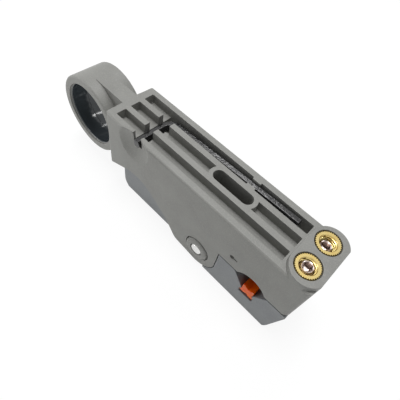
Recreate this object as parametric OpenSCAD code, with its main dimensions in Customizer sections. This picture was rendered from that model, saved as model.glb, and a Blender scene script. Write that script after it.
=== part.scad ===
// Rotary coaxial cable stripper: a moulded body with a finger ring, a sprung
// lever with a V-block jaw, and two hinged blades set by screws in the head.
// Millimetres. X runs towards the head, Y along the pivot, Z up. The origin lies
// below the pivot axis, mid-width, on the face that the tool rests on.

/* [Body] */
// Width of the body across its cheeks
body_w = 19.4; // [18.4:0.1:22]
// Height of the rib tops above the resting face
body_h = 34; // [33:0.5:38]
// From the pivot axis back to the ring end of the body
tail_len = 44.8; // [43:0.2:50]
// From the pivot axis forward to the front of the head
head_len = 33.4; // [33:0.1:36]
// Thickness of each cheek
cheek_t = 2.1; // [1.8:0.1:2.6]
// Thickness of the wall at the ring end
end_wall_t = 2.3; // [1.5:0.1:3]
// Thickness of the roof under the channel floors
roof_t = 4.18; // [3.4:0.02:4.6]
// Height of the cheeks' lower edge at the ring end
end_low = 10.9; // [8:0.1:13]
// Height of the corner that the finger arch is rounded from
arch_high = 18; // [16:0.1:19]
// Distance of that corner behind the pivot axis
arch_back = 28.5; // [26:0.5:31]
// Radius of the finger arch
arch_r = 13; // [8:0.5:14]
// Radius of the pivot lobe of each cheek
lobe_r = 7.7; // [7:0.1:7.9]
// Plan radius of the corners at the ring end
end_corner_r = 1.5; // [0.5:0.1:3]
// Plan radius of the corners at the front
front_corner_r = 1.9; // [0.5:0.1:3]
// Bevel along the top side edges
top_bevel = 0.5; // [0.2:0.1:1]

/* [Channels] */
// Thickness of the ribs along the side edges
outer_rib = 2.37; // [2:0.01:2.6]
// Width of a channel
channel_w = 3.5; // [3.3:0.1:3.8]
// Depth of a channel
channel_d = 3.25; // [3:0.05:3.6]
// Wall left at the ring end of the channels
channel_end = 2.85; // [2:0.05:4]
// Front end of the channels, ahead of the pivot axis
channel_front = 22.8; // [20:0.1:22.9]
// Length of the window in the middle channel
window_l = 14.1; // [10:0.1:16]
// Width of the window
window_w = 3.9; // [3.6:0.1:4.2]
// Wall round the window
window_wall = 1.45; // [1:0.05:2]

/* [Ring] */
// Outer radius of the finger ring
ring_r = 14.2; // [13.5:0.1:15]
// Smallest radius of its bore
ring_bore_r = 10.8; // [9.5:0.1:11.2]
// Width of the ring
ring_w = 13.7; // [11:0.1:15]
// Gap between the ring and the body
ring_gap = 0.6; // [0.3:0.1:2]
// Step and rounding of the lips of the bore
ring_lip = 0.6; // [0.3:0.05:0.9]
// Thickness of the web that joins ring and body
neck_w = 5.8; // [4:0.1:8]
// Height of the lower edge of that web
neck_low = 12; // [11:0.5:16]

/* [Head] */
// Height of the face that parts head and jaw, as a share of the body's height
part_share = 0.4853; // [0.48:0.0001:0.49]
// Screws' distance ahead of the pivot axis
screw_x = 28.2; // [28:0.05:28.5]
// Distance between the two screws
screw_gap = 9.3; // [8.8:0.1:10]
// How far the raised boss round the screws stands out over the cheeks
boss_over = 0.3; // [0:0.05:0.4]
// How far its round ends lie ahead of the screws
boss_ahead = 0.5; // [0:0.1:0.8]
// Height of the boss above the rib tops
boss_up = 1.85; // [1:0.05:2.5]
// Depth of the boss's edge below the rib tops
boss_down = 0.8; // [0.4:0.1:1.5]
// Radius of the cable arch in the head
cable_arch_r = 5.76; // [5.4:0.02:6]
// Cable line's distance ahead of the pivot axis
cable_x = 20.5; // [20:0.1:21]
// Depth of the arch's centre below the parting face
arch_below = 2.8; // [2.5:0.1:3.1]

/* [Inserts] */
// Diameter of a brass insert over its knurl
insert_d = 7; // [6.6:0.1:7.2]
// Height of the inserts' lower ends above the heel of the front blade
insert_up = 2.15; // [1:0.05:4]
// Height of the knurled collar of an insert
insert_collar = 1.6; // [1:0.1:3]
// Teeth of the knurl
insert_teeth = 36; // [24:1:48]
// Depth of its teeth
insert_tooth = 0.2; // [0.1:0.05:0.3]
// Gap between the collar and the boss
collar_gap = 0.25; // [0.1:0.05:0.3]
// Diameter of the screws at their pitch line
screw_d = 4.3; // [4:0.05:4.5]
// Depth of the front screw's top below the boss
screw_sunk = 0.47; // [0.2:0.01:1]
// Hexagon of the socket and of the key, across flats
hex_af = 2.5; // [2:0.1:2.7]
// Depth of the socket
socket_d = 2.6; // [1.5:0.1:4]
// How far the rear screw is turned in below the front one
screw_drop = 1.3; // [0.2:0.1:1.6]

/* [Blades] */
// Blade pin's distance ahead of the pivot axis
blade_pin_x = 11.9; // [11.6:0.1:12.4]
// Height of the blade pin above the parting face
blade_pin_up = 4.6; // [4.3:0.1:4.9]
// Diameter of the blade pin
blade_pin_d = 1.5; // [1.2:0.1:1.8]
// How deep the pin's ends lie in the cheeks
blade_pin_in = 1.1; // [0.5:0.1:2]
// Thickness of a blade
blade_t = 0.8; // [0.5:0.05:1]
// Height of a blade's heel above its pin, under the screw
blade_heel = 4.2; // [4:0.05:4.3]
// Depth of the cutting point below the pin
blade_point = 2.7; // [2:0.1:2.8]

/* [Lever] */
// Length of the lever behind the pivot axis
lever_tail = 39.7; // [36:0.1:40]
// Height of the lever's side walls at the tail
lever_wall_h = 17.6; // [16.6:0.1:18]
// Thickness of the lever's side walls
lever_wall_t = 1.6; // [1.2:0.1:2.2]
// Thickness of the lever's floor
lever_floor = 2; // [1.5:0.1:3]
// Radius of the rounded tail end
lever_end_r = 4.5; // [2:0.1:6]
// Radius along the lower side edges
lever_edge_r = 1; // [0.5:0.1:2]
// Forward lean of the nose
nose_lean = 2.4; // [0:0.1:4]
// Radius of the lower nose corner
nose_r = 3; // [1:0.1:4]
// Height of the lever spring's seat
spring_seat = 12; // [9:0.5:14]
// Spring's distance behind the pivot axis
spring_back = 16; // [14:0.5:20]
// Outside diameter of the lever spring
spring_d = 6; // [5:0.1:7]
// Wire of the lever spring
spring_wire = 0.7; // [0.5:0.05:0.9]
// Turns of the lever spring
spring_turns = 7; // [5:1:9]

/* [V-block] */
// Width of the block
block_w = 4.1; // [3.8:0.1:4.4]
// Depth of the block's top below the parting face
block_sunk = 3.05; // [3:0.05:3.5]
// Height of the block
block_h = 4.55; // [4.3:0.05:4.8]
// Depth of the groove for thick cables
groove_deep = 1; // [0.5:0.1:1.4]
// Foot that holds the block in its seat
foot = 0.45; // [0.3:0.05:0.7]
// Height of that foot
foot_h = 1; // [0.8:0.1:1.4]
// Room for the leaf spring between block and seat
leaf_room = 1; // [0.7:0.05:1.3]
// Half the angle of the V above the seat
notch_half_angle = 37; // [34:0.5:39]
// Width of the V at the parting face
notch_w = 12.4; // [11.6:0.1:13]
// Thickness of the leaf spring under the block
leaf_t = 0.3; // [0.2:0.05:0.4]

/* [Pivot] */
// Height of the pivot axis
pivot_z = 8.3; // [8.2:0.05:8.6]
// Diameter of the pivot pin
pivot_d = 4.5; // [4:0.1:5]
// Radius of the recess round the pin
recess_r = 4.8; // [4:0.1:5.5]
// Depth of the recess
recess_d = 1.1; // [0.6:0.1:1.4]
// How far the pin stands out of the recess floor
pin_proud = 0.2; // [0:0.1:0.5]

/* [Key] */
// Length of the key's long arm
key_long = 50.6; // [46:0.2:52]
// Length of its short arm
key_short = 14.3; // [12:0.1:15]
// Bend radius at the key's centre line
key_bend = 3.5; // [3:0.1:4]
// Cross slot's distance behind the pivot axis
slot_back = 31.1; // [30:0.1:32]
// Depth of the key's bed below the rib tops
key_bed = 4.7; // [4.3:0.05:4.9]
// Angle at which the key rises from there towards the head
key_tilt = 2.4; // [1.8:0.1:3]
// Clip's distance ahead of the pivot axis
clip_x = 3.15; // [0:0.1:6]
// Length of the clip along the key
clip_l = 3; // [2:0.1:4]
// Mouth of the clip, narrower than the key
clip_mouth = 2.1; // [1.8:0.1:2.6]
// Width of the cross slot
slot_w = 3.6; // [3.3:0.1:4]
// Depth of the finger scoop beside the slot
scoop_d = 1.7; // [1:0.1:1.9]
// Radius of the scoop's rim on the side face
scoop_rim = 6.9; // [5:0.1:7.5]
// Depth of its centre below the rib tops
scoop_down = 3.83; // [3:0.05:4.5]

/* [Fits] */
// Gap between lever and cheeks, each side
side_gap = 0.2; // [0.1:0.05:0.4]
// Parting gap between the mouldings
part_gap = 0.2; // [0.1:0.05:0.3]
// Radial play of a running pin
pin_play = 0.05; // [0.02:0.01:0.09]
// Play of a sliding fit, each side
slide_play = 0.06; // [0.03:0.01:0.1]
// Air between the key and what holds it
key_play = 0.05; // [0.03:0.01:0.1]
// Air left where a sprung piece rests on one that moves
touch = 0.08; // [0.04:0.02:0.12]
// Air between a return spring and its blade, for the blade's tilt
spring_air = 0.2; // [0.15:0.05:0.3]

/* [Hidden] */
eps = 0.01;
$fn = 64;
half_w = body_w / 2;
inner_w = body_w - 2 * cheek_t;
lever_w = inner_w - 2 * side_gap;
floor_z = body_h - channel_d;
roof_z = floor_z - roof_t;
part_z = body_h * part_share;
channel_pitch = half_w - outer_rib - channel_w / 2;
boss_r = half_w + boss_over - screw_gap / 2;
cable_arch_z = part_z - arch_below;
blade_pin_z = part_z + blade_pin_up;
block_top = part_z - block_sunk;
block_low = block_top - block_h;
seat_floor = block_low - leaf_room;
ring_x = -tail_len - ring_gap - ring_r;
ring_z = body_h - ring_r;
boss_top = body_h + boss_up;
arm_l = screw_x - blade_pin_x;
channel_back = -tail_len + channel_end;
slot_x = -slot_back;
hex_r = hex_af / sqrt(3);
key_y = channel_pitch;
bed_z = body_h - key_bed;
key_z = bed_z + hex_af / 2 + key_play + hex_r / 2 * sin(key_tilt);
screw_a_tip = blade_pin_z + blade_heel + touch;
screw_l = boss_top - screw_sunk - screw_a_tip;
insert_l = boss_top - blade_pin_z - blade_heel - insert_up;
eye_r = 1.9;
heel_r = 2;
heel_arm = norm([arm_l, blade_heel - heel_r]);
heel_angle = atan2(blade_heel - heel_r, arm_l);
// Tilt that brings the heel of a blade down by a given drop.
function blade_tilt(drop) =
    heel_angle - asin((blade_heel - heel_r - drop) / heel_arm);
spring_pocket_z = part_z + 1.4;
room_knee_z = part_z + 3;
seat_w = block_w + 2 * slide_play;
block_x = cable_x + 0.3;
tail_front = lobe_r + 3;
nose_x = head_len - nose_lean;

function unit(v) = v / norm(v);

// Points of the arc that rounds corner b = [x, y, radius] between a and c.
function corner(a, b, c, n) =
    let (p = [b.x, b.y], r = b[2])
    r == 0 ? [p] :
    let (u = unit([a.x, a.y] - p), v = unit([c.x, c.y] - p),
         h = acos(u * v) / 2,
         m = p + unit(u + v) * r / sin(h),
         s = p + u * r / tan(h) - m,
         e = p + v * r / tan(h) - m,
         a0 = atan2(s.y, s.x),
         turn = (atan2(e.y, e.x) - a0 + 540) % 360 - 180)
    [for (k = [0:n]) m + r * [cos(a0 + turn * k / n), sin(a0 + turn * k / n)]];

// Closed outline through corners [x, y, radius], each rounded to its radius.
function rounded(c, n = 6) =
    [for (i = [0:len(c) - 1])
        each corner(c[(i + len(c) - 1) % len(c)], c[i], c[(i + 1) % len(c)], n)];

// Points of an arc from angle a0 to a1.
function arc(x, y, r, a0, a1, n = 16) =
    [for (k = [0:n]) let (a = a0 + (a1 - a0) * k / n) [x + r * cos(a), y + r * sin(a)]];

// A side outline (x, z) made w wide across the middle plane.
module across(w) {
    rotate([90, 0, 0]) linear_extrude(w, center = true) children();
}

// A cross-section (y, z) drawn out along X from x0 to x1.
module along(x0, x1) {
    translate([x0, 0, 0]) rotate([90, 0, 90]) linear_extrude(x1 - x0) children();
}

// A cylinder across the part at [x, z].
module cross_bore(x, z, r, w) {
    translate([x, 0, z]) rotate([90, 0, 0]) cylinder(r = r, h = w, center = true);
}

// A box from corner a to corner b.
module box(a, b) {
    translate(a) cube(b - a);
}

// An upright slab with round ends, l long over all, from z0 to z1.
module obround(l, w, z0, z1) {
    for (x = [-1, 1] * (l - w) / 2)
        translate([x, 0, z0]) cylinder(d = w, h = z1 - z0);
    box([-(l - w) / 2, -w / 2, z0], [(l - w) / 2, w / 2, z1]);
}

// A round wire wound as a helix about Z, with closed flat ends.
module coil(d, wire, l, turns, per_turn = 18, sides = 8) {
    r = (d - wire) / 2;
    steps = turns * per_turn;
    rise = l - wire;
    rings = [for (i = [0:steps])
        let (a = 360 * i / per_turn, t = i / steps, z = wire / 2 + rise * t)
        [for (k = [0:sides - 1])
            let (b = 360 * k / sides, q = r + wire / 2 * cos(b))
            [q * cos(a), q * sin(a), z + wire / 2 * sin(b)]]];
    walls = [for (i = [0:steps - 1], k = [0:sides - 1])
        let (j = (k + 1) % sides, p = i * sides, q = p + sides)
        each [[p + k, q + k, q + j], [p + k, q + j, p + j]]];
    last = steps * sides;
    caps = [[for (k = [0:sides - 1]) k], [for (k = [sides - 1:-1:0]) last + k]];
    polyhedron([for (ring = rings) each ring], concat(walls, caps));
}

// Side outline of the body: top, parting face, lobe and finger arch.
module body_side() {
    polygon(concat(
        [[-tail_len, body_h], [-tail_len, end_low]],
        corner([-tail_len, end_low], [-arch_back, arch_high, arch_r], [-lobe_r * 2, lobe_r + 0.9], 12),
        corner([-arch_back, arch_high], [-lobe_r * 2, lobe_r + 0.9, 5], [-lobe_r * 1.3, 1.9], 5),
        corner([-lobe_r * 2, lobe_r + 0.9], [-lobe_r * 1.3, 1.9, 3.5], [0, pivot_z - lobe_r], 5),
        arc(0, pivot_z, lobe_r, 270, 360),
        [[lobe_r, part_z], [head_len, part_z], [head_len, body_h]]));
}

// Outer block of the body with its plan corners and top bevels.
module body_block() {
    bevel = top_bevel;
    intersection() {
        across(body_w) body_side();
        linear_extrude(body_h) polygon(rounded([
            [-tail_len, -half_w, end_corner_r], [head_len, -half_w, front_corner_r],
            [head_len, half_w, front_corner_r], [-tail_len, half_w, end_corner_r]]));
        along(-tail_len, head_len) polygon([
            [-half_w, 0], [half_w, 0], [half_w, body_h - bevel], [half_w - bevel, body_h],
            [bevel - half_w, body_h], [-half_w, body_h - bevel]]);
    }
}

// The finger ring with stepped, rounded lips and a parting step inside its bore.
module finger_ring() {
    w = ring_w / 2;
    lip = ring_lip;
    r = ring_bore_r;
    edge = 0.7;
    translate([ring_x, 0, ring_z]) rotate([90, 0, 0]) rotate_extrude($fn = 96) polygon(concat(
        corner([r, -w], [ring_r, -w, edge], [ring_r, w], 4),
        corner([ring_r, -w], [ring_r, w, edge], [r, w], 4),
        corner([ring_r, w], [r + lip, w, lip / 2], [r + lip, 0], 4),
        [[r + lip, w - lip], [r + lip / 4, w - 1.5 * lip], [r, 0],
         [r + lip / 4, 0], [r + lip / 3, 1.5 * lip - w], [r + lip, lip - w]],
        corner([r + lip, 0], [r + lip, -w, lip / 2], [ring_r, -w], 4)));
}

// Web between the ring and the body, flush with the rib tops.
module neck() {
    difference() {
        box([ring_x, -neck_w / 2, neck_low], [-tail_len + 1, neck_w / 2, body_h]);
        cross_bore(ring_x, ring_z, ring_r - 1, neck_w + 1);
    }
}

// Raised boss for the two inserts, with round ends cut off flat at the front.
module screw_boss() {
    z0 = body_h - boss_down;
    x = screw_x + boss_ahead;
    intersection() {
        union() {
            for (y = [-1, 1] * screw_gap / 2)
                translate([x, y, z0]) cylinder(r = boss_r, h = boss_top - z0);
            box([x - boss_r, -screw_gap / 2, z0], [x + boss_r, screw_gap / 2, boss_top]);
        }
        box([0, -body_w, 0], [head_len + boss_over / 2, body_w, boss_top + 1]);
    }
}

// Room between the cheeks for the lever and its swing.
module lever_room() {
    across(inner_w) polygon(rounded([
        [-tail_len + end_wall_t, -1, 0], [-tail_len + end_wall_t, roof_z, 1.5],
        [lobe_r - 3, roof_z, 1.5], [lobe_r + 1.3, room_knee_z, 1.5],
        [lobe_r + 1.3, -1, 0]]));
}

// Three open channels, the middle one parted by the wall of the window.
module channels() {
    for (i = [-1:1])
        difference() {
            box([channel_back, i * channel_pitch - channel_w / 2, floor_z],
                [channel_front, i * channel_pitch + channel_w / 2, body_h + 1]);
            if (i == 0)
                obround(window_l + 2 * window_wall, window_w + 2 * window_wall,
                    floor_z - 1, body_h + 2);
        }
    obround(window_l, window_w, room_knee_z, body_h + 1);
}

// Straight hexagon bar on the long arm's line, from behind the bend to the tip.
module key_bar(start, grow) {
    translate([slot_x, key_y, key_z]) rotate([0, 90 - key_tilt, 0]) rotate([0, 0, 30])
        translate([0, 0, start]) cylinder(r = hex_r + grow, h = key_long - start, $fn = 6);
}

// Bed of the key: a cross slot for its short arm, with the scoop that bares its
// end, room for the bend, and the far channel made deeper for the long arm.
module key_slot() {
    y0 = channel_w / 2;
    y1 = key_y + channel_w / 2;
    bend_room = 1.2;
    bend_x = slot_x + slot_w / 2 + bend_room;
    box([slot_x - slot_w / 2, -half_w - 1, bed_z], [slot_x + slot_w / 2, y1, body_h + 1]);
    box([slot_x, y0, bed_z], [bend_x, y1 - eps, body_h + 1]);
    box([slot_x, key_y - channel_w / 2, bed_z], [channel_front, y1, body_h + 1]);
    scoop_r = (scoop_rim * scoop_rim + scoop_d * scoop_d) / (2 * scoop_d);
    translate([slot_x - 0.2, scoop_d - half_w - scoop_r, body_h - scoop_down])
        sphere(r = scoop_r, $fn = 96);
}

// Bores, slots and pockets of the head for one screw and its blade.
module blade_works(y) {
    slot = blade_t + 0.2;
    slot_top = blade_pin_z + blade_heel + 0.65;
    collar_d = insert_d + 2 * collar_gap;
    translate([screw_x, y, 0]) {
        translate([0, 0, boss_top - insert_collar]) cylinder(d = collar_d, h = insert_collar + 1);
        translate([0, 0, boss_top - insert_l]) cylinder(d = insert_d - 0.4, h = insert_l);
        translate([0, 0, blade_pin_z + 1.2]) cylinder(d = screw_d + 0.3, h = roof_z);
        translate([0, 0, spring_pocket_z]) cylinder(d = 3, h = blade_pin_z - part_z);
    }
    box([blade_pin_x - 2.4, y - slot / 2, spring_pocket_z],
        [screw_x + 3.2, y + slot / 2, slot_top]);
    box([blade_pin_x + 3, y - slot / 2, part_z - 1], [screw_x - 3, y + slot / 2, slot_top]);
}

// Recess round one end of the pivot pin.
module pivot_recess(side) {
    translate([0, side * half_w, pivot_z]) rotate([90, 0, 0])
        cylinder(r = recess_r, h = 2 * recess_d, center = true);
}

// Keyhole in a cheek through which the blade pin is fitted.
module pin_keyhole() {
    cross_bore(blade_pin_x, blade_pin_z, blade_pin_d / 2, body_w + 1);
    tail = blade_pin_d / 3;
    for (side = [-1, 1])
        translate([blade_pin_x, side * half_w, blade_pin_z - tail / 2])
            translate([0, -blade_pin_in / 2, 0]) cube([1.3 * blade_pin_d, blade_pin_in, tail]);
}

// Clip in the far channel: a saddle under the long arm and two noses over it.
module key_clip() {
    root = 0.5;
    w = channel_w / 2 + root;
    difference() {
        box([clip_x - clip_l / 2, key_y - w, bed_z - eps], [clip_x + clip_l / 2, key_y + w, body_h]);
        key_bar(0, key_play);
        box([clip_x - clip_l, key_y - clip_mouth / 2, key_z],
            [clip_x + clip_l, key_y + clip_mouth / 2, body_h + 1]);
    }
}

// Peg under the roof that centres the lever spring.
module roof_peg() {
    translate([-spring_back, 0, roof_z - 2])
        cylinder(d = spring_d - 2 * spring_wire - 1, h = 2.5);
}

module body() {
    color("#8b8b84") {
        difference() {
            union() {
                body_block();
                screw_boss();
                neck();
            }
            lever_room();
            channels();
            key_slot();
            for (y = [-1, 1] * screw_gap / 2) blade_works(y);
            for (side = [-1, 1]) pivot_recess(side);
            cross_bore(0, pivot_z, pivot_d / 2, body_w);
            cross_bore(cable_x - 0.2, cable_arch_z, cable_arch_r, body_w + 1);
            pin_keyhole();
        }
        finger_ring();
        key_clip();
        roof_peg();
    }
}

// Side outline of the jaw, behind its V and outside the pivot lobe.
module jaw_side() {
    clear_r = lobe_r + part_gap;
    top = part_z - part_gap;
    difference() {
        polygon(concat(
            [[lobe_r / 2, 0]],
            corner([0, 0], [nose_x - 0.3, 0, nose_r], [head_len, top], 8),
            corner([nose_x, 0], [head_len, top, 0.5], [0, top], 3),
            [[lobe_r / 2, top]]));
        translate([0, pivot_z]) circle(r = clear_r, $fn = 96);
        translate([-eps, pivot_z]) square([clear_r + eps, top]);
    }
}

// V above the seat, the seat itself and the groove for the block's foot.
module jaw_notch() {
    half = notch_w / 2;
    slope = tan(notch_half_angle);
    polygon([[cable_x, part_z - half / slope],
        [cable_x + half + slope, part_z + 1], [cable_x - half - slope, part_z + 1]]);
    translate([block_x - seat_w / 2, seat_floor]) square([seat_w, part_z - seat_floor]);
    translate([block_x - seat_w / 2 - foot, seat_floor])
        square([seat_w + 2 * foot, block_low - seat_floor + foot_h + slide_play]);
}

// Side outline of the narrow part that runs back between the cheeks.
module tail_side() {
    polygon(rounded([
        [-lever_tail, lever_wall_h, 1], [-lever_tail, 0, lever_end_r], [tail_front, 0, 0],
        [tail_front, part_z - part_gap, 0], [lobe_r - 3, part_z - part_gap, 4]]));
}

// A block drawn along X whose lower edges are rounded.
module round_bottom(w, x0, x1) {
    h = w / 2;
    along(x0, x1) polygon(rounded([
        [-h, 0, lever_edge_r], [h, 0, lever_edge_r], [h, body_h, 0], [-h, body_h, 0]]));
}

// Trough of the tail, open towards the body.
module tail_trough() {
    t = lever_wall_t;
    across(lever_w - 2 * t) polygon(rounded([
        [t - lever_tail, body_h, 0], [t - lever_tail, lever_floor, lever_end_r - t],
        [-pivot_d - 1.5, lever_floor, 1.5], [-pivot_d, pivot_z + pivot_d, 0.5],
        [lobe_r - 1, pivot_z + pivot_d, 1], [lobe_r - 1, body_h, 0]]));
}

// Post in the trough that seats the lever spring.
module spring_post() {
    translate([-spring_back, 0, lever_floor - 0.5]) {
        cylinder(d = spring_d + 2, h = spring_seat - lever_floor + 0.5);
        cylinder(d = spring_d - 2 * spring_wire - 1, h = spring_seat - lever_floor + 2.5);
    }
}

module lever() {
    color("#84878a") difference() {
        union() {
            intersection() {
                across(body_w) jaw_side();
                round_bottom(body_w, 0, head_len + 1);
            }
            difference() {
                intersection() {
                    across(lever_w) tail_side();
                    round_bottom(lever_w, -lever_tail - 1, tail_front);
                }
                tail_trough();
            }
            spring_post();
        }
        across(body_w + 1) jaw_notch();
        cross_bore(0, pivot_z, pivot_d / 2 + pin_play, body_w);
    }
}

module pivot_pin() {
    l = body_w - 2 * (recess_d - pin_proud);
    c = 0.4;
    color("#c9ccce") translate([0, 0, pivot_z]) rotate([90, 0, 0]) rotate_extrude()
        polygon([[0, -l / 2], [pivot_d / 2 - c, -l / 2], [pivot_d / 2, c - l / 2],
            [pivot_d / 2, l / 2 - c], [pivot_d / 2 - c, l / 2], [0, l / 2]]);
}

module lever_spring() {
    color("#b8bcc0") translate([-spring_back, 0, spring_seat])
        coil(spring_d, spring_wire, roof_z - spring_seat, spring_turns);
}

module v_block() {
    low_groove = groove_deep * 0.6;
    foot_w = block_w / 2 + foot - slide_play;
    color("#f26a10") translate([block_x, 0, 0]) across(body_w - 0.2) polygon([
        [-foot_w, block_low], [-low_groove * 1.5, block_low], [0, block_low + low_groove],
        [low_groove * 1.5, block_low], [foot_w, block_low], [foot_w, block_low + foot_h],
        [block_w / 2, block_low + foot_h], [block_w / 2, block_top],
        [groove_deep * 1.7, block_top], [0, block_top - groove_deep],
        [-groove_deep * 1.7, block_top], [-block_w / 2, block_top],
        [-block_w / 2, block_low + foot_h], [-foot_w, block_low + foot_h]]);
}

// Bowed leaf whose middle presses on the block and whose ends lie on the seat.
module block_spring() {
    bow = block_low - touch - leaf_t - seat_floor;
    half = half_w - 3;
    r = (half * half + bow * bow) / (2 * bow);
    a = asin(half / r);
    color("#aeb2b6") translate([block_x, 0, seat_floor + bow - r]) rotate([90, 0, 90])
        linear_extrude(block_w - 0.8, center = true)
            polygon(concat(arc(0, 0, r + leaf_t, 90 - a, 90 + a), arc(0, 0, r, 90 + a, 90 - a)));
}

// Knurled bush, threaded through, with a toothed collar at its top.
module insert(y) {
    color("#d9bd62") translate([screw_x, y, boss_top - insert_l]) difference() {
        union() {
            cylinder(d = insert_d - 0.4, h = insert_l - insert_collar + eps);
            translate([0, 0, insert_l - insert_collar]) linear_extrude(insert_collar - 0.1)
                polygon([for (i = [0:2 * insert_teeth - 1])
                    let (r = insert_d / 2 - insert_tooth * (i % 2), a = 180 * i / insert_teeth)
                    r * [cos(a), sin(a)]]);
        }
        translate([0, 0, -1]) cylinder(d = screw_d + 2 * pin_play, h = insert_l + 2);
        translate([0, 0, insert_l - 0.5]) cylinder(d1 = screw_d, d2 = screw_d + 1, h = 0.5);
    }
}

module insert_a() {
    insert(-screw_gap / 2);
}

module insert_b() {
    insert(screw_gap / 2);
}

// Set screw with a hexagon socket and a flat, bevelled tip.
module set_screw(y, drop) {
    c = 0.5;
    color("#9a9da0") translate([screw_x, y, screw_a_tip - drop]) difference() {
        rotate_extrude() polygon([[0, 0], [screw_d / 2 - c, 0], [screw_d / 2, c],
            [screw_d / 2, screw_l - c / 2], [screw_d / 2 - c / 2, screw_l], [0, screw_l]]);
        translate([0, 0, screw_l - socket_d]) cylinder(r = hex_r, h = socket_d + 1, $fn = 6);
    }
}

module set_screw_a() {
    set_screw(-screw_gap / 2, 0);
}

module set_screw_b() {
    set_screw(screw_gap / 2, screw_drop);
}

// Outline of a blade's arm about its pin, from the eye over the heel to the point.
module blade_arm() {
    reach = cable_x - blade_pin_x;
    polygon([[0, 0.9 * eye_r], [arm_l - 1.2, blade_heel - 0.6],
        [arm_l + 0.9 * heel_r, blade_heel - heel_r], [arm_l + 0.9 * heel_r, 0],
        [arm_l - 0.9 * heel_r, 0], [reach + 2.8, -0.9], [reach, -blade_point],
        [reach - 2.8, -1.6], [0, -0.9 * eye_r]]);
}

module blade(y, drop) {
    color("#c4c8cc") translate([blade_pin_x, y, blade_pin_z]) rotate([0, blade_tilt(drop), 0])
        difference() {
            union() {
                cross_bore(0, 0, eye_r, blade_t);
                cross_bore(arm_l, blade_heel - heel_r, heel_r, blade_t);
                across(blade_t) blade_arm();
            }
            cross_bore(0, 0, blade_pin_d / 2 + pin_play, blade_t + 1);
        }
}

module blade_a() {
    blade(-screw_gap / 2, 0);
}

module blade_b() {
    blade(screw_gap / 2, screw_drop);
}

// Return spring between the pocket floor and the blade's lower edge.
module blade_spring(y, drop) {
    l = blade_pin_z - spring_air - drop - spring_pocket_z;
    color("#b8bcc0") translate([screw_x, y, spring_pocket_z]) coil(2.4, 0.35, l, 3, 14, 6);
}

module blade_spring_a() {
    blade_spring(-screw_gap / 2, 0);
}

module blade_spring_b() {
    blade_spring(screw_gap / 2, screw_drop);
}

module blade_pin() {
    color("#8f9499") cross_bore(blade_pin_x, blade_pin_z, blade_pin_d / 2, body_w - 2 * blade_pin_in);
}

// L-shaped hexagon key: its short arm lies in the cross slot, its long arm in the clip.
module hex_key() {
    color("#1d1d20") {
        key_bar(key_bend, 0);
        translate([slot_x, key_y, key_z]) rotate([0, -key_tilt, 0]) translate([0, -key_bend, 0]) {
            rotate([90, 0, 0]) cylinder(r = hex_r, h = key_short - key_bend, $fn = 6);
            translate([key_bend, 0, 0]) rotate([0, 0, 90]) rotate_extrude(angle = 90)
                translate([key_bend, 0]) circle(r = hex_r, $fn = 6);
        }
    }
}

body();
lever();
pivot_pin();
lever_spring();
v_block();
block_spring();
insert_a();
insert_b();
set_screw_a();
set_screw_b();
blade_a();
blade_b();
blade_spring_a();
blade_spring_b();
blade_pin();
hex_key();
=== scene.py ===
"""Looks of the coaxial cable stripper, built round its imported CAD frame.

Moulded grey body and lever, brass inserts with set screws, a plated pivot pin,
sprung blades, an orange V-block and a black hexagon key lie on a pale floor in
soft studio light. Lengths are in metres, and MM turns millimetres into them.
"""

import logging
import math
from dataclasses import dataclass
from enum import Enum
from typing import Any, Sequence

import bmesh
import bpy
from mathutils import Matrix, Vector
from mathutils.bvhtree import BVHTree


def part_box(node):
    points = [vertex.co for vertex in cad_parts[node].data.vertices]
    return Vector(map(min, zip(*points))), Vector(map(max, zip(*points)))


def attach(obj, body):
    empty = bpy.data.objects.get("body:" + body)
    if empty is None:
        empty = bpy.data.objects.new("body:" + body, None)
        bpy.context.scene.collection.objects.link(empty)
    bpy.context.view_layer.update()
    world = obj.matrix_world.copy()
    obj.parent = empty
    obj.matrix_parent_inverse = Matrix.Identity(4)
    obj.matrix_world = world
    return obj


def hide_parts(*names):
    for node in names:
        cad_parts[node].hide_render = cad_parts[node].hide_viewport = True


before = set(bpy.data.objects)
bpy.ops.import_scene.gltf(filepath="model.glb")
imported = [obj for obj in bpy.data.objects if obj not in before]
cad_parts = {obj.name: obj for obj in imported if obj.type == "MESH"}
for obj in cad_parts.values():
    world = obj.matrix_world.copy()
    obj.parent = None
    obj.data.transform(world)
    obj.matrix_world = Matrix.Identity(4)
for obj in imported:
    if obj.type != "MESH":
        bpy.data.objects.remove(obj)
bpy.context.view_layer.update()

log = logging.getLogger("cable_stripper")

MM = 0.001
FULL_TURN = 2.0 * math.pi
WELD = 0.001 * MM
BOSS_UP = 1.85 * MM
SMOOTH_ANGLE = math.radians(32)
PLASTIC = "filled_nylon_grey"
Profile = Sequence[tuple[float, float]]


class Node(Enum):
    """The CAD nodes, by the names that the record gives them."""

    BODY = "body"
    LEVER = "lever"
    PIVOT_PIN = "pivot_pin"
    LEVER_SPRING = "lever_spring"
    V_BLOCK = "v_block"
    BLOCK_SPRING = "block_spring"
    INSERT_A = "insert_a"
    INSERT_B = "insert_b"
    SCREW_A = "set_screw_a"
    SCREW_B = "set_screw_b"
    BLADE_A = "blade_a"
    BLADE_B = "blade_b"
    BLADE_SPRING_A = "blade_spring_a"
    BLADE_SPRING_B = "blade_spring_b"
    BLADE_PIN = "blade_pin"
    HEX_KEY = "hex_key"


class Slot(Enum):
    """The record's material slots."""

    BODY = "body_plastic"
    LEVER = "lever_plastic"
    ORANGE = "orange_plastic"
    BRASS = "brass"
    PIN = "pin_steel"
    SCREW = "screw_steel"
    BLADE = "blade_steel"
    SPRING = "spring_steel"
    KEY = "black_steel"


# Small tools


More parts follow.
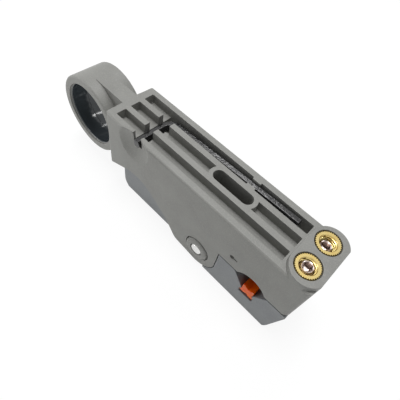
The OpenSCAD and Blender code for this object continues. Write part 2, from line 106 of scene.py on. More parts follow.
def linear(hex_colour: str) -> tuple[float, float, float, float]:
    """Turns an sRGB hex colour into linear RGBA.

    Args:
        hex_colour: Six hex digits, with or without a leading hash.

    Returns:
        The linear red, green, blue and a full alpha.
    """
    digits = hex_colour.lstrip("#")
    parts = [int(digits[i:i + 2], 16) / 255.0 for i in (0, 2, 4)]
    low = [c / 12.92 if c <= 0.04045 else ((c + 0.055) / 1.055) ** 2.4 for c in parts]
    return (low[0], low[1], low[2], 1.0)


def add(
    tree: bpy.types.NodeTree,
    kind: str,
    settings: dict[str, Any] | None = None,
    inputs: dict[Any, Any] | None = None,
) -> bpy.types.Node:
    """Adds one shader node with its settings and links.

    Args:
        tree: The node tree that gets it.
        kind: The node's type, without its ShaderNode prefix.
        settings: Attributes to set on the node.
        inputs: Socket name or index, to a value or to the output that feeds it.

    Returns:
        The new node.
    """
    node = tree.nodes.new("ShaderNode" + kind)
    for key, value in (settings or {}).items():
        setattr(node, key, value)
    for key, value in (inputs or {}).items():
        socket = node.inputs[key]
        if isinstance(value, bpy.types.NodeSocket):
            tree.links.new(value, socket)
        else:
            socket.default_value = value
    return node


def new_material(name: str) -> tuple[bpy.types.Material, bpy.types.NodeTree, bpy.types.Node]:
    """Starts a node material.

    Args:
        name: The material's name.

    Returns:
        The material, its node tree and its output node.
    """
    material = bpy.data.materials.new(name)
    material.use_nodes = True
    tree = material.node_tree
    tree.nodes.clear()
    return material, tree, add(tree, "OutputMaterial")


def noise(
    tree: bpy.types.NodeTree, vector: bpy.types.NodeSocket, size: float, detail: float
) -> bpy.types.NodeSocket:
    """Adds a noise whose lumps are about one size across.

    Args:
        tree: The node tree that gets it.
        vector: The coordinates, in metres.
        size: Width of a lump in metres.
        detail: Octaves of finer noise on top.

    Returns:
        The noise's factor output.
    """
    return add(tree, "TexNoise", inputs={
        "Vector": vector, "Scale": 1.0 / size, "Detail": detail, "Roughness": 0.55,
    }).outputs[0]


def ranged(
    tree: bpy.types.NodeTree,
    value: bpy.types.NodeSocket,
    span: tuple[float, float],
    result: tuple[float, float],
) -> bpy.types.NodeSocket:
    """Maps a value from one span to another, clamped at its ends.

    Args:
        tree: The node tree that gets the node.
        value: The value to map.
        span: The values that map to the ends of the result.
        result: The two ends of the result.

    Returns:
        The mapped value.
    """
    return add(tree, "MapRange", inputs={
        "Value": value, "From Min": span[0], "From Max": span[1],
        "To Min": result[0], "To Max": result[1],
    }).outputs[0]


def blended(
    tree: bpy.types.NodeTree,
    factor: bpy.types.NodeSocket,
    first: Any,
    second: Any,
) -> bpy.types.NodeSocket:
    """Mixes two colours.

    Args:
        tree: The node tree that gets the node.
        factor: 0 for the first colour, 1 for the second.
        first: A linear colour or an output.
        second: A linear colour or an output.

    Returns:
        The mixed colour.
    """
    return add(tree, "Mix", {"data_type": "RGBA"}, {0: factor, 6: first, 7: second}).outputs[2]


# Finishes


@dataclass(frozen=True)
class PolishedBoreWithPaintedShade:
    """The part of a moulding that a polished core left smooth, as a tube about Y. Its low roughness
    is the real polish; its darker, bluish colour is painted shade and painted sky reflection.
    """

    centre: tuple[float, float]
    radius: float
    colour: str
    roughness: float


@dataclass(frozen=True)
class MouldedPlastic:
    """Glass-filled nylon, injection moulded in a spark-eroded tool: satin, with a fine
    grain that breaks up the highlights, and slow changes of tone where the melt flowed."""

    name: str
    base: str
    shade: str
    light: str
    roughness: float
    grain: float = 0.3 * MM
    flow: float = 9.0 * MM
    relief: float = 0.012 * MM
    bore: PolishedBoreWithPaintedShade | None = None

    def build(self) -> bpy.types.Material:
        """Builds the material."""
        material, tree, output = new_material(self.name)
        place = add(tree, "TexCoord").outputs["Object"]
        flow = noise(tree, place, self.flow, 3.0)
        grain = noise(tree, place, self.grain, 2.0)
        tone = blended(tree, ranged(tree, flow, (0.35, 0.65), (0.0, 1.0)),
                       linear(self.shade), linear(self.base))
        colour = blended(tree, ranged(tree, grain, (0.5, 0.72), (0.0, 0.7)),
                         tone, linear(self.light))
        gloss = ranged(tree, grain, (0.3, 0.7), (self.roughness - 0.06, self.roughness + 0.06))
        strength: Any = 1.0
        if self.bore is not None:
            inside = self.bore_mask(tree, place, self.bore)
            # Inside the bore the colour turns a darker bluish grey, which is painted shade and
            # painted sky reflection; the lower roughness there is the real polish.
            colour = blended(tree, inside, colour, linear(self.bore.colour))
            gloss = add(tree, "Mix", {"data_type": "FLOAT"},
                        {0: inside, 2: gloss, 3: self.bore.roughness}).outputs[0]
            strength = ranged(tree, inside, (0.0, 1.0), (1.0, 0.1))
        bump = add(tree, "Bump", inputs={
            "Strength": strength, "Distance": self.relief, "Height": grain})
        shader = add(tree, "BsdfPrincipled", inputs={
            "Base Color": colour, "Roughness": gloss, "IOR": 1.5, "Normal": bump.outputs[0]})
        tree.links.new(shader.outputs[0], output.inputs[0])
        return material

    @staticmethod
    def bore_mask(
        tree: bpy.types.NodeTree, place: bpy.types.NodeSocket, bore: PolishedBoreWithPaintedShade
    ) -> bpy.types.NodeSocket:
        """Marks the inside of the polished bore.

        Args:
            tree: The node tree that gets the nodes.
            place: Object coordinates.
            bore: The bore to mark.

        Returns:
            1 inside the bore, 0 outside it.
        """
        axis = add(tree, "VectorMath", {"operation": "SUBTRACT"},
                   {0: place, 1: (bore.centre[0], 0.0, bore.centre[1])}).outputs[0]
        flat = add(tree, "VectorMath", {"operation": "MULTIPLY"},
                   {0: axis, 1: (1.0, 0.0, 1.0)}).outputs[0]
        away = add(tree, "VectorMath", {"operation": "LENGTH"}, {0: flat}).outputs["Value"]
        return ranged(tree, away, (bore.radius, bore.radius - 0.05 * MM), (0.0, 1.0))


@dataclass(frozen=True)
class AcetalResin:
    """Coloured acetal, moulded and unpainted: smooth, slightly waxy, and light gets
    a little way into it, so its edges glow."""

    name: str
    base: str
    deep: str
    roughness: float = 0.34
    cloud: float = 2.5 * MM
    grain: float = 0.25 * MM
    relief: float = 0.006 * MM
    glow_depth: float = 2.0 * MM

    def build(self) -> bpy.types.Material:
        """Builds the material."""
        material, tree, output = new_material(self.name)
        place = add(tree, "TexCoord").outputs["Object"]
        cloud = noise(tree, place, self.cloud, 2.0)
        fine = noise(tree, place, self.grain, 2.0)
        colour = blended(tree, ranged(tree, cloud, (0.35, 0.65), (0.0, 0.5)),
                         linear(self.base), linear(self.deep))
        bump = add(tree, "Bump", inputs={
            "Strength": 0.6, "Distance": self.relief, "Height": fine})
        shader = add(tree, "BsdfPrincipled", inputs={
            "Base Color": colour, "Roughness": self.roughness, "IOR": 1.48,
            "Specular IOR Level": 0.2, "Normal": bump.outputs[0],
            "Subsurface Weight": 0.5, "Subsurface Scale": self.glow_depth})
        tree.links.new(shader.outputs[0], output.inputs[0])
        return material


@dataclass(frozen=True)
class TurnedMetal:
    """Metal cut on a lathe: bright, with fine tool rings about the axis of each
    piece and a thin film that dulls it unevenly."""

    name: str
    base: str
    film: str
    roughness: float
    axis: tuple[float, float, float]
    ring: float = 0.22 * MM
    relief: float = 0.006 * MM
    patch: float = 1.6 * MM
    grain: float = 0.12 * MM

    def build(self) -> bpy.types.Material:
        """Builds the material."""
        material, tree, output = new_material(self.name)
        place = add(tree, "TexCoord").outputs["Object"]
        patch = noise(tree, place, self.patch, 3.0)
        fine = noise(tree, place, self.grain, 1.0)
        along = add(tree, "VectorMath", {"operation": "DOT_PRODUCT"},
                    {0: place, 1: self.axis}).outputs["Value"]
        wave = add(tree, "Math", {"operation": "SINE"}, {
            0: add(tree, "Math", {"operation": "MULTIPLY"},
                   {0: along, 1: FULL_TURN / self.ring}).outputs[0]}).outputs[0]
        height = add(tree, "Math", {"operation": "ADD"}, {0: wave, 1: fine}).outputs[0]
        colour = blended(tree, ranged(tree, patch, (0.4, 0.7), (0.0, 0.6)),
                         linear(self.base), linear(self.film))
        gloss = ranged(tree, patch, (0.3, 0.7), (self.roughness - 0.05, self.roughness + 0.08))
        bump = add(tree, "Bump", inputs={
            "Strength": 0.5, "Distance": self.relief, "Height": height})
        shader = add(tree, "BsdfPrincipled", inputs={
            "Base Color": colour, "Metallic": 1.0, "Roughness": gloss,
            "Normal": bump.outputs[0]})
        tree.links.new(shader.outputs[0], output.inputs[0])
        return material


@dataclass(frozen=True)
class GroundSteel:
    """Hardened strip or wire, ground or drawn: grey and bright, with fine scratches
    that run along the piece."""

    name: str
    base: str
    film: str
    roughness: float
    stretch: tuple[float, float, float]
    scratch: float = 0.1 * MM
    patch: float = 2.0 * MM
    relief: float = 0.004 * MM

    def build(self) -> bpy.types.Material:
        """Builds the material."""
        material, tree, output = new_material(self.name)
        place = add(tree, "TexCoord").outputs["Object"]
        drawn = add(tree, "VectorMath", {"operation": "MULTIPLY"},
                    {0: place, 1: self.stretch}).outputs[0]
        lines = noise(tree, drawn, self.scratch, 2.0)
        patch = noise(tree, place, self.patch, 3.0)
        colour = blended(tree, ranged(tree, patch, (0.4, 0.7), (0.0, 0.6)),
                         linear(self.base), linear(self.film))
        gloss = ranged(tree, lines, (0.3, 0.7), (self.roughness - 0.06, self.roughness + 0.1))
        bump = add(tree, "Bump", inputs={
            "Strength": 0.4, "Distance": self.relief, "Height": lines})
        shader = add(tree, "BsdfPrincipled", inputs={
            "Base Color": colour, "Metallic": 1.0, "Roughness": gloss,
            "Normal": bump.outputs[0]})
        tree.links.new(shader.outputs[0], output.inputs[0])
        return material


@dataclass(frozen=True)
class BlackOxide:
    """Alloy steel bar, blackened and oiled: a dark skin with a sharp oily gloss over
    shallow dimples, rubbed a little brown where it has been handled."""

    name: str
    base: str
    rubbed: str
    roughness: float = 0.16
    patch: float = 3.0 * MM
    dimple: float = 1.0 * MM
    relief: float = 0.1 * MM

    def build(self) -> bpy.types.Material:
        """Builds the material."""
        material, tree, output = new_material(self.name)
        place = add(tree, "TexCoord").outputs["Object"]
        rub = noise(tree, place, self.patch, 3.0)
        fine = noise(tree, place, self.dimple, 2.0)
        colour = blended(tree, ranged(tree, rub, (0.5, 0.75), (0.0, 0.6)),
                         linear(self.base), linear(self.rubbed))
        gloss = ranged(tree, fine, (0.3, 0.7), (self.roughness - 0.05, self.roughness + 0.12))
        bump = add(tree, "Bump", inputs={
            "Strength": 1.0, "Distance": self.relief, "Height": fine})
        shader = add(tree, "BsdfPrincipled", inputs={
            "Base Color": colour, "Roughness": gloss, "IOR": 1.6, "Normal": bump.outputs[0]})
        tree.links.new(shader.outputs[0], output.inputs[0])
        return material


# Meshes


@dataclass(frozen=True)
class Span:
    """A CAD node's box, with the measures that pieces are placed by."""

    low: Vector
    high: Vector

    @classmethod
    def of(cls, node: Node) -> "Span":
        """Reads a node's box from the frame."""
        low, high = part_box(node.value)
        return cls(Vector(low), Vector(high))

    @property
    def centre(self) -> Vector:
        """The middle of the box."""
        return (self.low + self.high) / 2.0

    @property
    def size(self) -> Vector:
        """The box's three sizes."""
        return self.high - self.low


def lathe(bm: bmesh.types.BMesh, profile: Profile, steps: int) -> None:
    """Turns a profile about Z into a closed surface.

    Args:
        bm: The mesh that gets it.
        profile: Points as radius and height, from the axis back to the axis, or a loop.
        steps: Sides of the full turn.
    """
    points = [bm.verts.new((radius, 0.0, height)) for radius, height in profile]
    edges = [bm.edges.new(pair) for pair in zip(points, points[1:])]
    if profile[0][0] > 0.0:
        edges.append(bm.edges.new((points[-1], points[0])))
    bmesh.ops.spin(bm, geom=points + edges, cent=(0, 0, 0), axis=(0, 0, 1),
                   angle=FULL_TURN, steps=steps, use_merge=True)
    bmesh.ops.remove_doubles(bm, verts=bm.verts[:], dist=WELD)
    bmesh.ops.recalc_face_normals(bm, faces=bm.faces[:])


def wind(
    bm: bmesh.types.BMesh, section: Profile, pitch: float, turns: float, per_turn: int
) -> None:
    """Winds a closed section about Z as a ridge with flat ends.

    Args:
        bm: The mesh that gets it.
        section: Corners of the section as radius and height.
        pitch: Rise of one turn.
        turns: Number of turns.
        per_turn: Steps of one turn.
    """
    corners = [bm.verts.new((radius, 0.0, height)) for radius, height in section]
    start = bm.faces.new(corners)
    steps = round(per_turn * turns)
    before = set(bm.faces[:]) - {start}
    bmesh.ops.spin(bm, geom=[start], cent=(0, 0, 0), axis=(0, 0, 1),
                   dvec=(0, 0, pitch / per_turn), angle=FULL_TURN * steps / per_turn,
                   steps=steps)
    bmesh.ops.recalc_face_normals(bm, faces=[f for f in bm.faces if f not in before])


def seal(bm: bmesh.types.BMesh, name: str) -> bpy.types.Mesh:
    """Writes a bmesh to a mesh with smooth faces and sharp edges at its corners.

    Args:
        bm: The finished bmesh, which is freed.
        name: The mesh's name.

    Returns:
        The mesh.
    """
    for face in bm.faces:
        face.smooth = True
    for edge in bm.edges:
        edge.smooth = not edge.is_manifold or edge.calc_face_angle() < SMOOTH_ANGLE
    mesh = bpy.data.meshes.new(name)
    bm.to_mesh(mesh)
    bm.free()
    return mesh


def put(
    bm: bmesh.types.BMesh,
    name: str,
    material: bpy.types.Material,
    body: str,
    slot: Slot,
    *nodes: Node,
) -> bpy.types.Object:
    """Makes a piece of a bmesh, dresses it and lets it ride on its body.

    Args:
        bm: The piece's bmesh, in place.
        name: The piece's name.
        material: Its material.
        body: The CAD body that it moves with.
        slot: The record's material slot that it stands for; not used.
        nodes: The CAD nodes that it replaces.

    Returns:
        The new object.
    """
    piece = bpy.data.objects.new(name, seal(bm, name))
    bpy.context.scene.collection.objects.link(piece)
    piece.data.materials.append(material)
    evened = piece.modifiers.new("flat_faces_stay_flat", "WEIGHTED_NORMAL")
    evened.keep_sharp = True
    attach(piece, body)
    if nodes:
        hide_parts(*(node.value for node in nodes))
    log.info("%s: %d faces, rides on %s", name, len(piece.data.polygons), body)
    return piece


def dress(node: Node, material: bpy.types.Material) -> None:
    """Gives a CAD node a material in every slot.

    Args:
        node: The node.
        material: Its material.
    """
    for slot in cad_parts[node.value].material_slots:
        slot.material = material
    log.info("%s: dressed in %s", node.value, material.name)


def crossings(bm: bmesh.types.BMesh) -> list[Vector]:
    """Finds where a mesh runs through itself.

    Args:
        bm: The mesh.

    Returns:
        The middles of the faces that cross others that they share no corner with.
    """
    bm.faces.ensure_lookup_table()
    tree = BVHTree.FromBMesh(bm, epsilon=0.0)
    found = []
    for one, other in tree.overlap(tree):
        first, second = bm.faces[one], bm.faces[other]
        if one < other and not set(first.verts) & set(second.verts):
            found += [first.calc_center_median(), second.calc_center_median()]
    return found


def eased(node: Node, radius: float, segments: int, corner: float) -> bmesh.types.BMesh:
    """Copies a CAD node and rounds its sharp edges, as a mould or a file leaves them.

    Where there is no room for the rounding, it is left out and the copy made again.

    Args:
        node: The node to copy.
        radius: Width taken off each edge.
        segments: Segments across each rounding.
        corner: Least angle, in degrees, of an edge that is rounded.

    Returns:
        The rounded copy.
    """
    tight: list[Vector] = []
    for _ in range(4):
        bm = bmesh.new()
        bm.from_mesh(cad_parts[node.value].data)
        bmesh.ops.remove_doubles(bm, verts=bm.verts[:], dist=2.0 * WELD)
        bmesh.ops.dissolve_limit(bm, angle_limit=math.radians(0.6), verts=bm.verts[:],
                                 edges=bm.edges[:], delimit={"NORMAL"})
        sharp = [e for e in bm.edges if e.is_manifold
                 and e.calc_face_angle() > math.radians(corner)
                 and not any(near_edge(e, spot, 2.0 * radius) for spot in tight)]
        bmesh.ops.bevel(bm, geom=sharp, offset=radius, offset_type="OFFSET", segments=segments,
                        profile=0.5, affect="EDGES", clamp_overlap=False, material=-1)
        found = crossings(bm)
        if not found:
            break
        tight += found
        log.info("%s: %d crossings of the rounding", node.value, len(found) // 2)
    return bm


def near_edge(edge: bmesh.types.BMEdge, spot: Vector, reach: float) -> bool:
    """Tells whether a spot lies close to an edge.

    Args:
        edge: The edge.
        spot: The spot.
        reach: How far is still close.

    Returns:
        True if it does.
    """
    start, end = (vert.co for vert in edge.verts)
    run = end - start
    share = min(1.0, max(0.0, (spot - start).dot(run) / run.length_squared))
    return (start + run * share - spot).length < reach


# Sub-assemblies


@dataclass
class Mouldings:
    """The body with its finger ring and the sprung lever, both moulded in grey."""

    edge: float = 0.2 * MM
    segments: int = 2
    corner: float = 28.0
    ring_radius: float = 14.2 * MM
    bore_radius: float = 11.2 * MM
    bore_gloss: float = 0.1

    def build(self) -> None:
        """Copies both mouldings with eased edges and dresses them."""
        body = Span.of(Node.BODY)
        centre = (body.low.x + self.ring_radius, frame_top(body) - self.ring_radius)
        # The bore colour #454B4F is painted shade and painted sky reflection inside the finger ring.
        bore = PolishedBoreWithPaintedShade(centre, self.bore_radius, "#454B4F", self.bore_gloss)
        grey = MouldedPlastic(PLASTIC, "#8E8E8A", "#868682", "#A09F9A", 0.5,
                              bore=bore).build()
        blue = MouldedPlastic("filled_nylon_lever", "#85888A", "#7C7F82", "#97999C", 0.48).build()
        put(eased(Node.BODY, self.edge, self.segments, self.corner), "moulded_body", grey,
            "frame", Slot.BODY, Node.BODY)
        put(eased(Node.LEVER, self.edge, self.segments, self.corner), "moulded_lever", blue,
            "lever", Slot.LEVER, Node.LEVER)


def frame_top(body: Span) -> float:
    """Height of the body's ribs, which lie under its boss.

    Args:
        body: The body's box.

    Returns:
        The height in metres.
    """
    return body.high.z - BOSS_UP


@dataclass
class ScrewedInserts:
    """Two knurled brass bushes and the set screws in them."""

    teeth: int = 36
    tooth: float = 0.28 * MM
    collar: float = 1.6 * MM
    pitch: float = 0.8 * MM
    wall: float = 2.42 * MM
    crest: float = 2.2 * MM
    hexagon: float = 2.5 * MM
    socket: float = 2.6 * MM
    shank_in: float = 0.3 * MM
    bevel: float = 0.07 * MM
    ridge: float = 0.14 * MM
    thread_deep: float = 0.3 * MM
    thread_steps: int = 32
    screw_sides: int = 48

    def build(self) -> None:
        """Builds both bushes and both screws.

        Turned brass gives a warm yellow with bright rings, and plated steel a cool,
        slightly brown one.
        """
        brass = TurnedMetal("turned_brass", "#D6C284", "#B99A52", 0.24, (0.0, 0.0, 1.0)).build()
        steel = TurnedMetal("plated_screw_steel", "#BDB0AA", "#8F807A", 0.22,
                            (0.0, 0.0, 1.0), ring=0.4 * MM).build()
        pairs = ((Node.INSERT_A, Node.SCREW_A, "screw_a"), (Node.INSERT_B, Node.SCREW_B, "screw_b"))
        for bush, screw, body in pairs:
            put(self.bush(Span.of(bush)), bush.value + "_knurled", brass, "frame",
                Slot.BRASS, bush)
            put(self.screw(Span.of(screw)), screw.value + "_threaded", steel, body,
                Slot.SCREW, screw)

    def bush(self, span: Span) -> bmesh.types.BMesh:
        """Turns one bush, knurls its collar and cuts its thread.

        Args:
            span: The box of the bush's CAD node.

        Returns:
            The bush, in place.
        """
        outer = span.size.x / 2.0
        shank = outer - self.shank_in
        height = span.size.z
        step = height - self.collar
        bevel = self.bevel
        bm = bmesh.new()
        lathe(bm, (
            (self.wall, 0.0), (shank, 0.0), (shank, step), (outer, step + 0.05 * MM),
            (outer, height - bevel), (outer - bevel, height), (self.wall + 0.12 * MM, height),
            (self.wall - 0.08 * MM, height - 0.25 * MM), (self.wall, height - 0.35 * MM),
        ), 2 * self.teeth)
        self.knurl(bm, outer)
        ridge = self.ridge
        wind(bm, ((self.wall + 0.05 * MM, 0.0), (self.wall + 0.05 * MM, 2.4 * ridge),
                  (self.crest, 1.6 * ridge), (self.crest, 0.8 * ridge)),
             self.pitch, (height - self.pitch) / self.pitch, self.thread_steps)
        bmesh.ops.translate(bm, verts=bm.verts[:],
                            vec=(span.centre.x, span.centre.y, span.low.z))
        return bm

    def knurl(self, bm: bmesh.types.BMesh, outer: float) -> None:
        """Sinks every second row of the collar to leave straight teeth.

        Args:
            bm: The turned bush, about Z.
            outer: Radius of the collar.
        """
        half = FULL_TURN / (2 * self.teeth)
        for vert in bm.verts:
            radius = math.hypot(vert.co.x, vert.co.y)
            row = round(math.atan2(vert.co.y, vert.co.x) / half)
            if radius > outer - 0.12 * MM and row % 2:
                share = (radius - self.tooth) / radius
                vert.co.x *= share
                vert.co.y *= share

    def screw(self, span: Span) -> bmesh.types.BMesh:
        """Turns one set screw with its hexagon socket and winds its thread.

        Args:
            span: The box of the screw's CAD node.

        Returns:
            The screw, in place.
        """
        outer = span.size.x / 2.0
        core = outer - self.thread_deep
        height = span.size.z
        mouth = self.hexagon / math.sqrt(3.0) + 0.12 * MM
        floor = height - self.socket
        bm = bmesh.new()
        lathe(bm, (
            (0.0, 0.0), (outer - 0.7 * MM, 0.0), (core, 0.4 * MM), (core, height - 0.4 * MM),
            (core - 0.2 * MM, height - 0.06 * MM), (core - 0.28 * MM, height), (mouth, height),
            (mouth - 0.15 * MM, height - 0.15 * MM), (mouth - 0.15 * MM, floor),
            (0.0, floor - 0.6 * MM),
        ), self.screw_sides)
        self.broach(bm, floor - 0.3 * MM, height - 0.1 * MM, mouth)
        wind(bm, ((core - 0.05 * MM, 0.0), (core - 0.05 * MM, 0.5 * MM), (outer, 0.3 * MM),
                  (outer, 0.2 * MM)),
             self.pitch, (height - 1.0 * MM) / self.pitch, self.thread_steps)
        bmesh.ops.translate(bm, verts=bm.verts[:],
                            vec=(span.centre.x, span.centre.y, span.low.z))
        return bm

    def broach(self, bm: bmesh.types.BMesh, low: float, high: float, mouth: float) -> None:
        """Presses the round socket into a hexagon.

        Args:
            bm: The turned screw, about Z.
            low: Height under the socket's walls.
            high: Height over the socket's walls.
            mouth: Radius of the socket's mouth.
        """
        for vert in bm.verts:
            radius = math.hypot(vert.co.x, vert.co.y)
            if low < vert.co.z < high and 0.1 * MM < radius < mouth - 0.05 * MM:
                turn = math.degrees(math.atan2(vert.co.y, vert.co.x))
                off = math.radians((turn + 30.0) % 60.0 - 30.0)
                share = self.hexagon / 2.0 / math.cos(math.radians(30.0) - abs(off)) / radius
                vert.co.x *= share
                vert.co.y *= share


@dataclass
class Linkage:
    """The pivot pin, the lever spring, the V-block and the leaf under it.

    The pin's ends lie in low domes of the body, which fill the CAD's recesses and
    stand a little proud of the cheeks.
    """

    recess: float = 4.8 * MM
    sunk: float = 1.1 * MM
    proud: float = 0.6 * MM
    groove: float = 0.3 * MM
    face: float = 0.1 * MM
    pin_play: float = 0.12 * MM
    seat: float = 0.05 * MM
    shoulder: float = 0.35 * MM
    fullness: float = 0.6
    dome_steps: int = 16
    dome_sides: int = 72
    crown: float = 0.06 * MM
    chamfer: float = 0.4 * MM
    pin_sides: int = 64
    block_edge: float = 0.22 * MM
    block_segments: int = 3
    block_corner: float = 20.0

    def build(self) -> None:
        """Builds and dresses the pieces. The domes take the body's own plastic."""
        pin = TurnedMetal("plated_pin_steel", "#E4E4E2", "#CFCFCC", 0.22, (0.0, 1.0, 0.0)).build()
        orange = AcetalResin("orange_acetal", "#FF6A00", "#FA5000").build()
        wire = GroundSteel("drawn_spring_wire", "#B9BCBE", "#94979A", 0.26, (1.0, 1.0, 0.2)).build()
        span = Span.of(Node.PIVOT_PIN)
        cheek = Span.of(Node.V_BLOCK).size.y / 2.0 + self.face
        put(self.pin(span, cheek + self.proud), "pivot_pin_turned", pin, "frame",
            Slot.PIN, Node.PIVOT_PIN)
        for side, name in ((-1.0, "pivot_dome_right"), (1.0, "pivot_dome_left")):
            put(self.dome(span, cheek, side), name, bpy.data.materials[PLASTIC], "frame", Slot.BODY)
        put(eased(Node.V_BLOCK, self.block_edge, self.block_segments, self.block_corner),
            "v_block_moulded", orange, "v_block", Slot.ORANGE, Node.V_BLOCK)
        dress(Node.LEVER_SPRING, wire)
        dress(Node.BLOCK_SPRING, wire)

    def dome(self, span: Span, cheek: float, side: float) -> bmesh.types.BMesh:
        """Turns the dome round one end of the pin.

        Args:
            span: The box of the pin's CAD node.
            cheek: Distance of the cheek's face from the middle plane.
            side: -1 for the right cheek, 1 for the left one.

        Returns:
            The dome, in place.
        """
        hole = span.size.x / 2.0 + self.pin_play
        foot = self.recess - self.groove
        floor = cheek - self.sunk - self.seat
        spring = cheek - self.shoulder
        rise = cheek + self.proud - spring
        turns = [FULL_TURN / 4.0 * k / self.dome_steps for k in range(self.dome_steps + 1)]
        arc = [(hole + (foot - hole) * max(0.0, math.cos(turn)) ** self.fullness,
                spring + rise * math.sin(turn) ** self.fullness) for turn in turns]
        bm = bmesh.new()
        lathe(bm, [(hole, floor), (foot, floor)] + arc, self.dome_sides)
        bmesh.ops.rotate(bm, verts=bm.verts[:], cent=(0, 0, 0),
                         matrix=Matrix.Rotation(math.radians(-90.0 * side), 3, "X"))
        bmesh.ops.translate(bm, verts=bm.verts[:], vec=(span.centre.x, 0.0, span.centre.z))
        return bm

    def pin(self, span: Span, half: float) -> bmesh.types.BMesh:
        """Turns the pin with crowned, chamfered ends.

        Args:
            span: The box of the pin's CAD node.
            half: Distance of its end faces from the middle plane.

        Returns:
            The pin, in place.
        """
        radius = span.size.x / 2.0
        crown, chamfer = self.crown, self.chamfer
        bm = bmesh.new()
        lathe(bm, (
            (0.0, -half), (radius * 0.5, crown / 3 - half), (radius - chamfer, crown - half),
            (radius, crown + chamfer - half), (radius, half - crown - chamfer),
            (radius - chamfer, half - crown), (radius * 0.5, half - crown / 3), (0.0, half),
        ), self.pin_sides)
        bmesh.ops.rotate(bm, verts=bm.verts[:], cent=(0, 0, 0),
                         matrix=Matrix.Rotation(math.radians(90), 3, "X"))
        bmesh.ops.translate(bm, verts=bm.verts[:], vec=span.centre)
        return bm


@dataclass
class BladeSet:
    """Two blades on their cross pin, each lifted by a small return spring."""

    def build(self) -> None:
        """Dresses the pieces of the blade set."""
        blade = GroundSteel("ground_blade_steel", "#C6CACC", "#A4A8AA", 0.2, (0.15, 1.0, 1.0)).build()
        wire = GroundSteel("fine_spring_wire", "#BABDC0", "#95989B", 0.26, (1.0, 1.0, 0.2)).build()
        rod = TurnedMetal("ground_rod_steel", "#B8BBBD", "#8F9294", 0.25, (0.0, 1.0, 0.0)).build()
        for node in (Node.BLADE_A, Node.BLADE_B):
            dress(node, blade)
        for node in (Node.BLADE_SPRING_A, Node.BLADE_SPRING_B):
            dress(node, wire)
        dress(Node.BLADE_PIN, rod)


@dataclass
class HexagonKey:
    """The bent hexagon key that is stored in the top of the body."""

    edge: float = 0.12 * MM
    segments: int = 2
    corner: float = 40.0

    def build(self) -> None:
        """Rounds the drawn bar's edges and dresses it."""
        black = BlackOxide("black_oxide_steel", "#0E0E10", "#1C1A19").build()
        put(eased(Node.HEX_KEY, self.edge, self.segments, self.corner), "hex_key_bent", black,
            "frame", Slot.KEY, Node.HEX_KEY)


# Studio


@dataclass(frozen=True)
class Softbox:
    """A square lamp with an even face."""

    name: str
    place: tuple[float, float, float]
    width: float
    watts: float


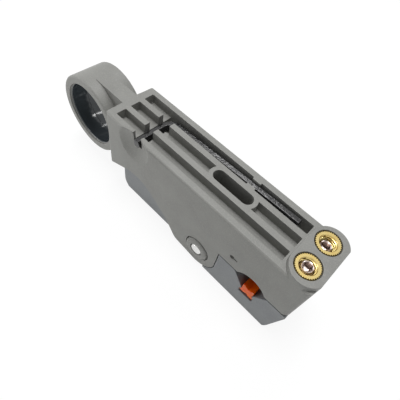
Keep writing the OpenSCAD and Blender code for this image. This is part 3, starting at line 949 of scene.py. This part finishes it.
@dataclass
class Studio:
    """Pale floor, soft lamps, white surroundings and the photograph's camera."""

    target: Vector = Vector((-0.015, 0.0, 0.018))
    camera_place: Vector = Vector((0.02591, -0.05444, 0.11022))
    right: Vector = Vector((0.70053, 0.70220, 0.12720))
    up: Vector = Vector((-0.63682, 0.53469, 0.55549))
    back: Vector = Vector((0.32205, -0.47014, 0.82174))
    focal_mm: float = 31.40
    sensor_mm: float = 36.0
    shift: tuple[float, float] = (0.0107, -0.0036)
    floor_width: float = 3.0
    floor_colour: str = "#F4F4F2"
    world_colour: str = "#F6F8FA"
    world_level: float = 0.2
    shadow_share: float = 0.12
    lamps: tuple[Softbox, ...] = (
        Softbox("overhead_softbox", (-0.12, 0.06, 0.85), 0.3, 4.2),
        Softbox("back_left_panel", (-0.3, 0.42, 0.72), 0.2, 0.8),
        Softbox("back_right_strip", (0.4, 0.34, 0.72), 0.1, 0.4),
        Softbox("front_low_panel", (-0.16, -0.12, 0.06), 0.08, 0.07),
    )

    def build(self) -> None:
        """Sets up the camera, the floor, the world, the lamps and the view."""
        self.camera()
        self.floor()
        self.world()
        for lamp in self.lamps:
            self.light(lamp)
        bpy.context.scene.view_settings.view_transform = "Standard"

    def camera(self) -> None:
        """Puts the camera where the photograph was taken from."""
        data = bpy.data.cameras.new("photo_camera")
        data.lens = self.focal_mm
        data.sensor_width = self.sensor_mm
        data.shift_x, data.shift_y = self.shift
        data.clip_start = 1.0 * MM
        eye = bpy.data.objects.new("photo_camera", data)
        turn = Matrix((self.right, self.up, self.back)).transposed()
        eye.matrix_world = Matrix.Translation(self.camera_place) @ turn.to_4x4()
        bpy.context.scene.collection.objects.link(eye)
        bpy.context.scene.camera = eye

    def seen(self, tree: bpy.types.NodeTree) -> bpy.types.NodeSocket:
        """Gives 1 for rays of the camera, of glossy surfaces and through clear ones.

        Args:
            tree: The node tree that gets the nodes.

        Returns:
            The factor.
        """
        path = add(tree, "LightPath").outputs
        straight = add(tree, "Math", {"operation": "MAXIMUM"},
                       {0: path["Is Camera Ray"], 1: path["Is Glossy Ray"]}).outputs[0]
        return add(tree, "Math", {"operation": "MAXIMUM"},
                   {0: straight, 1: path["Is Transmission Ray"]}).outputs[0]

    def floor(self) -> None:
        """Lays the floor: pale for light, near white for the eye, with a faint shadow."""
        bm = bmesh.new()
        bmesh.ops.create_grid(bm, x_segments=1, y_segments=1, size=self.floor_width / 2.0)
        mesh = bpy.data.meshes.new("pale_floor")
        bm.to_mesh(mesh)
        bm.free()
        material, tree, output = new_material("pale_floor_paper")
        pale = add(tree, "BsdfDiffuse", inputs={"Color": linear(self.floor_colour)})
        faint = add(tree, "BsdfDiffuse", inputs={"Color": (self.shadow_share,) * 3 + (1.0,)})
        glow = add(tree, "Emission", inputs={
            "Color": (1.0, 1.0, 1.0, 1.0), "Strength": 1.0 - self.shadow_share * 0.8})
        white = add(tree, "AddShader", inputs={0: faint.outputs[0], 1: glow.outputs[0]})
        mixed = add(tree, "MixShader", inputs={
            0: self.seen(tree), 1: pale.outputs[0], 2: white.outputs[0]})
        tree.links.new(mixed.outputs[0], output.inputs[0])
        mesh.materials.append(material)
        floor = bpy.data.objects.new("pale_floor", mesh)
        bpy.context.scene.collection.objects.link(floor)

    def world(self) -> None:
        """Surrounds the object with soft light that shows as white."""
        world = bpy.data.worlds.new("white_room")
        world.use_nodes = True
        tree = world.node_tree
        tree.nodes.clear()
        soft = add(tree, "Background", inputs={
            "Color": linear(self.world_colour), "Strength": self.world_level})
        white = add(tree, "Background", inputs={"Color": (1.0, 1.0, 1.0, 1.0), "Strength": 1.0})
        mixed = add(tree, "MixShader", inputs={
            0: self.seen(tree), 1: soft.outputs[0], 2: white.outputs[0]})
        add(tree, "OutputWorld", inputs={0: mixed.outputs[0]})
        bpy.context.scene.world = world

    def light(self, lamp: Softbox) -> None:
        """Hangs one lamp, turned to the object.

        Args:
            lamp: The lamp.
        """
        data = bpy.data.lights.new(lamp.name, "AREA")
        data.shape = "SQUARE"
        data.size = lamp.width
        data.energy = lamp.watts
        box = bpy.data.objects.new(lamp.name, data)
        place = Vector(lamp.place)
        box.matrix_world = Matrix.Translation(place) @ (
            (place - self.target).to_track_quat("Z", "Y").to_matrix().to_4x4())
        bpy.context.scene.collection.objects.link(box)


def main() -> None:
    """Builds the studio and every sub-assembly, in order."""
    logging.basicConfig(level=logging.INFO, format="%(name)s: %(message)s")
    for part in (Studio(), Mouldings(), ScrewedInserts(), Linkage(), BladeSet(), HexagonKey()):
        log.info("building %s", type(part).__name__)
        part.build()


if __name__ == "__main__":
    main()
